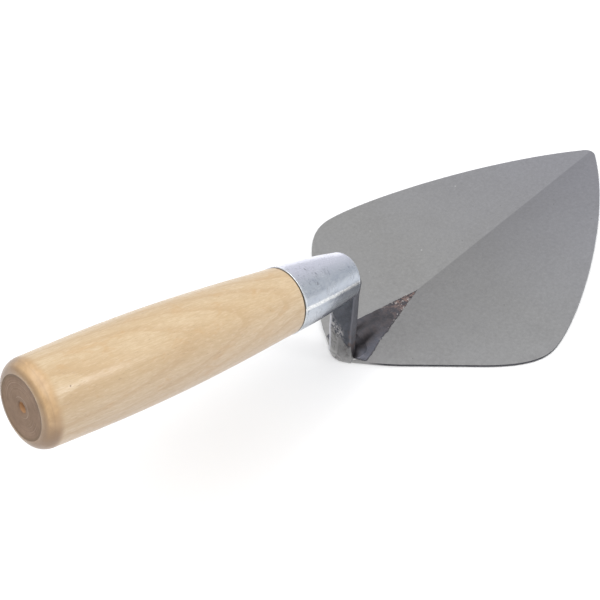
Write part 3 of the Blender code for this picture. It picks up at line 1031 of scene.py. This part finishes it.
def ferrule_material():
    mat = Paint("zinc_plated_steel")
    x, y, z = mat.parts()
    cloud = mat.noise((0.006, 0.006, 0.014), 4.0, 0.62, 0.5)
    mottle = mat.noise((0.0012, 0.0012, 0.002), 3.0, 0.65, 0.4, shift=2.0)
    streak = mat.noise((0.00035, 0.00035, 0.015), 2.0, 0.5, shift=5.0)
    ring = mat.noise((0.02, 0.02, 0.0006), 2.0, 0.6, shift=7.0)
    patches = mat.step(cloud, 0.35, 0.65)
    base = mat.mix(patches, (0.49, 0.535, 0.605), (0.6, 0.64, 0.69))
    base = mat.mix(mat.line(mottle, 0.35, 0.7, 0.0, 0.35), base, (0.69, 0.725, 0.75))
    base = mat.mix(mat.line(streak, 0.45, 0.75, 0.0, 0.45), base, (0.4, 0.43, 0.5))
    # Painted light and shade: the top side is painted lighter and bluer, the low side darker.
    painted_top_light = mat.step(mat.along(x, y, TOP_SIDE), 0.0005, 0.0095)
    base = mat.tint(base, painted_top_light, 0.9, (0.85, 0.855, 0.965))
    low = mat.line(mat.along(x, y, LOW_SIDE), 0.0005, 0.006)
    base = mat.shade(base, low, (0.835, 0.83, 0.835))

    # Marks: thin wandering scratches and smudges at the rear. Also a painted highlight along it: a
    # lamp's reflection, painted as one bright broken line.
    scratch = mat.noise((0.0055, 0.0055, 0.0032), 2.0, 0.55, 1.8, shift=13.0)
    scratch = mat.step(mat.size(mat.add(scratch, -0.5)), 0.012, 0.003)
    where = mat.step(mat.noise(0.005, 2.0, 0.5, shift=17.0), 0.5, 0.57)
    scratch = mat.times(scratch, where)
    base = mat.tint(base, scratch, 0.75, (0.17, 0.18, 0.22))
    smudge = mat.noise((0.0016, 0.0016, 0.0011), 3.0, 0.7, 0.5, shift=19.0)
    smudge = mat.times(mat.step(smudge, 0.56, 0.66), mat.step(z, 0.02, 0.03))
    base = mat.tint(base, smudge, 0.5, (0.24, 0.25, 0.28))
    lip = mat.step(z, FERRULE_LENGTH - 0.0012, FERRULE_LENGTH - 0.0007)
    base = mat.tint(base, lip, 0.6, (0.72, 0.75, 0.76))
    wander = mat.times(mat.add(mat.noise(0.004, 2.0, 0.5, shift=23.0), -0.5), 0.0012)
    sheen_line = mat.add(mat.along(x, y, (-0.2385, 0.971)), wander)
    rub_wear_and_sheen = mat.times(mat.step(mat.size(sheen_line), 0.001, 0.0005), mat.step(x, 0.0, 0.004))
    sheen_breakup = mat.step(mat.noise(0.00055, 2.0, 0.6, shift=27.0), 0.4, 0.55, 0.25, 1.0)
    base = mat.tint(base, mat.times(rub_wear_and_sheen, sheen_breakup), 0.8, (0.9, 0.9, 0.88))

    rough = mat.line(mat.add(mottle, mat.times(cloud, 0.6)), 0.5, 1.0, 0.15, 0.28)
    relief = mat.total((mottle, 1.0), (streak, 0.5), (ring, 0.2), (scratch, -0.5))
    normal = mat.bump(relief, 0.00003, 0.6)
    mat.set(Base_Color=base, Roughness=rough, Metallic=1.0, Normal=normal)
    return mat.material


def growth_rings(mat, x, y, z):
    """Wide and fine rings: shells about a pith line outside the grip, which runs off its axis."""
    pith_x, pith_y = 0.052 * 0.7, 0.052 * 0.714
    reach = mat.from_axis(mat.add(x, pith_x), mat.add(y, pith_y))
    warp = mat.noise((0.016, 0.016, 0.06), 2.0, 0.5, 0.3)
    fine_warp = mat.noise((0.0025, 0.0025, 0.028), 2.0, 0.5, shift=4.0)
    reach = mat.total((reach, 1.0), (z, 0.085), (warp, 0.0032), (fine_warp, 0.0006))
    phase = mat.math("FRACT", mat.times(reach, 1 / 0.0029))
    wide = mat.times(mat.step(phase, 0.5, 0.92), mat.step(phase, 1.0, 0.94))
    phase = mat.math("FRACT", mat.times(reach, 1 / 0.00083))
    return wide, mat.step(mat.size(mat.add(phase, -0.5)), 0.35, 0.05)


def wood_material():
    mat = Paint("lacquered_pale_hardwood")
    x, y, z = mat.parts()
    end = FERRULE_LENGTH + WOOD_LENGTH
    wide_rings, fine_rings = growth_rings(mat, x, y, z)
    fibre = mat.noise((0.00038, 0.00038, 0.012), 3.0, 0.6, shift=1.0)
    streak = mat.noise((0.0015, 0.0015, 0.036), 3.0, 0.55, 0.2, shift=2.0)
    broad = mat.step(mat.noise((0.01, 0.01, 0.05), 2.0, 0.5, shift=3.0), 0.35, 0.65)
    base = mat.mix(broad, (0.62, 0.46, 0.275), (0.665, 0.515, 0.33))
    base = mat.mix(mat.line(streak, 0.4, 0.7, 0.0, 0.42), base, (0.54, 0.378, 0.205))
    base = mat.tint(base, wide_rings, 0.37, (0.5, 0.322, 0.16))
    base = mat.tint(base, fine_rings, 0.09, (0.5, 0.345, 0.185))
    base = mat.mix(mat.line(fibre, 0.42, 0.72, 0.0, 0.36), base, (0.48, 0.335, 0.185))
    fleck = mat.noise((0.00045, 0.00045, 0.0026), 2.0, 0.6, shift=41.0)
    base = mat.mix(mat.line(fleck, 0.44, 0.68, 0.0, 0.4), base, (0.52, 0.36, 0.195))
    base = mat.mix(mat.line(fleck, 0.46, 0.28, 0.0, 0.35), base, (0.74, 0.6, 0.42))
    blush = mat.noise((0.0055, 0.0055, 0.011), 4.0, 0.68, 0.9, shift=43.0)
    base = mat.mix(mat.step(blush, 0.52, 0.68, 0.0, 0.45), base, (0.56, 0.35, 0.165))
    pores = mat.step(mat.noise((0.0002, 0.0002, 0.002), 1.0, 0.5, shift=8.0), 0.66, 0.73)
    base = mat.tint(base, pores, 0.45, (0.33, 0.21, 0.115))
    speck = mat.step(mat.cells((0.011, 0.011, 0.016), (0.4, 0.9, 0.3)), 0.04, 0.022)
    base = mat.tint(base, speck, 0.8, (0.2, 0.115, 0.06))

    # The butt's rounding is end grain, which drinks the finish: it is warmer, with fine rings.
    turning = end - BUTT_ROUNDING
    turning = mat.step(z, turning - 0.001, turning + 0.002)
    radius = mat.vector(mat.from_axis(x, y))
    rings = mat.noise((0.0006, 0.0006, 0.0006), 2.0, 0.5, vector=radius, shift=24.0)
    drunk = mat.step(mat.noise((0.005, 0.005, 0.004), 3.0, 0.6, 0.5, shift=25.0), 0.38, 0.62)
    stain = mat.mix(drunk, (0.6, 0.385, 0.19), (0.48, 0.295, 0.135))
    stain = mat.mix(mat.step(rings, 0.45, 0.7, 0.0, 0.35), stain, (0.33, 0.19, 0.09))
    base = mat.tint(base, turning, 0.8, stain)
    base = mat.tint(base, mat.step(z, end - 0.0011, end - 0.0003), 0.6, (0.235, 0.15, 0.085))

    # Painted shade: the low side is painted darker, and the rounding is painted darkest low down
    # and on its -X side, away from the light.
    low = mat.line(mat.along(x, y, LOW_SIDE), 0.0, 0.016)
    base = mat.shade(base, low, (0.82, 0.815, 0.87))
    low_butt_shade = mat.times(turning, mat.step(low, 0.45, 0.9))
    base = mat.tint(base, low_butt_shade, 0.95, (0.235, 0.134, 0.062))
    far_butt_shade = mat.times(turning, mat.step(x, -0.001, -0.01))
    base = mat.tint(base, far_butt_shade, 0.75, (0.225, 0.155, 0.11))
    joint = mat.step(z, FERRULE_LENGTH + 0.0009, FERRULE_LENGTH + 0.0004)
    base = mat.tint(base, joint, 0.7, (0.17, 0.12, 0.07))

    satin = mat.noise((0.006, 0.006, 0.016), 3.0, 0.6, 0.3, shift=20.0)
    rough = mat.line(mat.add(satin, mat.times(fibre, 0.3)), 0.4, 0.9, 0.36, 0.55)
    relief = mat.total((fibre, 0.6), (streak, 0.8), (satin, 1.2), (pores, -0.4))
    normal = mat.bump(relief, 0.00012, 0.5)
    mat.set(Base_Color=base, Roughness=rough, Normal=normal)
    mat.set(Coat_Weight=0.5, Coat_Roughness=0.15, Coat_Normal=normal)
    return mat.material


def end_grain_material():
    """The butt's sawn and faced end: taupe, with faint arcs left by the lathe tool."""
    mat = Paint("faced_end_grain")
    x, y, z = mat.parts()
    end = FERRULE_LENGTH + WOOD_LENGTH
    radius = mat.from_axis(x, y)
    arc_sizes = (0.00055, 0.0006, 0.0006)
    arcs = mat.noise(arc_sizes, 2.0, 0.5, vector=mat.vector(radius), shift=15.0)
    cloud = mat.step(mat.noise(0.005, 3.0, 0.6, shift=14.0), 0.3, 0.7)
    base = mat.mix(cloud, (0.228, 0.154, 0.106), (0.282, 0.194, 0.136))
    where = mat.step(mat.noise(0.0075, 2.0, 0.5, shift=16.0), 0.42, 0.6)
    pale = mat.times(mat.step(arcs, 0.52, 0.66), mat.times(where, 0.55))
    base = mat.mix(pale, base, (0.45, 0.35, 0.285))
    base = mat.tint(base, mat.step(arcs, 0.44, 0.34), 0.45, (0.195, 0.13, 0.1))
    pore = mat.step(mat.noise(0.00035, 1.0, 0.5, shift=18.0), 0.6, 0.72)
    base = mat.tint(base, pore, 0.4, (0.15, 0.1, 0.07))
    base = mat.tint(base, mat.step(radius, 0.01, 0.0109), 0.6, (0.165, 0.118, 0.075))
    in_hole = mat.step(radius, 0.0026, 0.0021)
    in_hole = mat.times(in_hole, mat.step(z, end - 0.0004, end - 0.0009))
    base = mat.mix(in_hole, base, (0.46, 0.26, 0.13))
    normal = mat.bump(mat.total((arcs, 1.0), (pore, -0.5)), 0.0001, 0.6)
    mat.set(Base_Color=base, Roughness=0.75, Specular_IOR_Level=0.2, Normal=normal)
    return mat.material


def floor_material():
    mat = Paint("white_paper_sweep")
    place = mat.node("ShaderNodeTexCoord").outputs["Object"]
    tone = mat.noise(0.35, 2.0, 0.5, vector=place)
    base = mat.mix(tone, (0.93, 0.93, 0.93), (0.955, 0.955, 0.955))
    mat.set(Base_Color=base, Roughness=0.8, Specular_IOR_Level=0.1)
    mat.set(Emission_Color=WHITE, Emission_Strength=0.05)
    return mat.material


# ---------------- assembly


def face_the_butt(obj, material):
    """The faces of the butt's flat and of its lathe hole get the end-grain material."""
    obj.data.materials.append(material)
    own = obj.data.attributes["own_place"].data
    nearest = FERRULE_LENGTH + WOOD_LENGTH - LATHE_HOLE_DEPTH - MM / 10
    for face in obj.data.polygons:
        corners = [own[i].vector for i in face.vertices]
        radius = max(math.hypot(p.x, p.y) for p in corners)
        if radius < BUTT_FLAT_RADIUS + MM / 100 and min(p.z for p in corners) > nearest:
            face.material_index = 1


def dress(obj, material, node):
    obj.data.materials.append(material)
    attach(obj, "root")
    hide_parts(node)


dress(make_forging(), steel_material(), "blade_forging")
dress(make_ferrule(), ferrule_material(), "ferrule")
grip = make_grip()
dress(grip, wood_material(), "wooden_handle")
face_the_butt(grip, end_grain_material())


# ---------------- floor, light, camera


def make_floor():
    """A square as wide as the eye can see, just below the blade so that they never overlap."""
    size, z = 30.0, -0.0003
    data = bpy.data.meshes.new("studio_floor")
    corners = [(-size, -size, z), (size, -size, z), (size, size, z), (-size, size, z)]
    data.from_pydata(corners, [], [(0, 1, 2, 3)])
    floor = bpy.data.objects.new("studio_floor", data)
    bpy.context.scene.collection.objects.link(floor)
    data.materials.append(floor_material())


def make_light(name, place, target, size, power):
    data = bpy.data.lights.new(name, "AREA")
    data.shape = "RECTANGLE"
    data.size, data.size_y = size
    data.energy = power
    light = bpy.data.objects.new(name, data)
    bpy.context.scene.collection.objects.link(light)
    light.location = place
    light.rotation_euler = (Vector(target) - Vector(place)).to_track_quat("-Z", "Y").to_euler()


def make_world():
    """A pale room: lighter below and overhead, dimmer on the side that the butt faces."""
    world = bpy.data.worlds.new("studio")
    bpy.context.scene.world = world
    world.use_nodes = True
    tree = world.node_tree
    background = tree.nodes["Background"]
    where = tree.nodes.new("ShaderNodeTexCoord")
    split = tree.nodes.new("ShaderNodeSeparateXYZ")
    ramp = tree.nodes.new("ShaderNodeValToRGB")
    tree.links.new(where.outputs["Generated"], split.inputs[0])
    tree.links.new(split.outputs["Z"], ramp.inputs[0])
    stops = ramp.color_ramp.elements
    stops[0].position, stops[0].color = 0.0, (0.72, 0.73, 0.76, 1)
    stops[1].position, stops[1].color = 1.0, (0.8, 0.8, 0.81, 1)
    middle = stops.new(0.55)
    middle.color = (0.66, 0.665, 0.68, 1)
    tree.links.new(ramp.outputs[0], background.inputs["Color"])
    dim = tree.nodes.new("ShaderNodeMapRange")
    dim.interpolation_type = "SMOOTHSTEP"
    for name, value in (("From Min", -0.9), ("From Max", 0.1), ("To Min", 0.5), ("To Max", 1.0)):
        dim.inputs[name].default_value = value
    tree.links.new(split.outputs["Y"], dim.inputs["Value"])
    tree.links.new(dim.outputs["Result"], background.inputs["Strength"])


def make_camera():
    """The camera looks down the grip from above and behind its butt."""
    data = bpy.data.cameras.new("camera")
    camera = bpy.data.objects.new("camera", data)
    bpy.context.scene.collection.objects.link(camera)
    yaw, pitch, roll = 0.83707, -0.75719, -0.08692
    flat = math.cos(pitch)
    forward = Vector((-math.sin(yaw) * flat, math.cos(yaw) * flat, math.sin(pitch)))
    level = Vector((math.cos(yaw), math.sin(yaw), 0))
    above = level.cross(forward)
    right = math.cos(roll) * level + math.sin(roll) * above
    up = -math.sin(roll) * level + math.cos(roll) * above
    turn = Matrix((right, up, -forward)).transposed().to_4x4()
    camera.matrix_world = Matrix.Translation((0.2145, -0.27702, 0.32192)) @ turn
    data.sensor_width = 36.0
    data.lens = 59.857
    data.clip_start = 0.01
    bpy.context.scene.camera = camera


make_floor()
make_world()
# The overhead softbox lights everything, and the small window puts the sheen on the lacquer.
make_light("overhead", (0.15, -0.55, 2.0), (0, -0.05, 0.03), (2.6, 2.2), 36.0)
make_light("window", (0.39, 0.163, 0.373), (0.01, -0.19, 0.1), (0.11, 0.11), 0.3)
make_camera()
bpy.context.scene.view_settings.view_transform = "Standard"
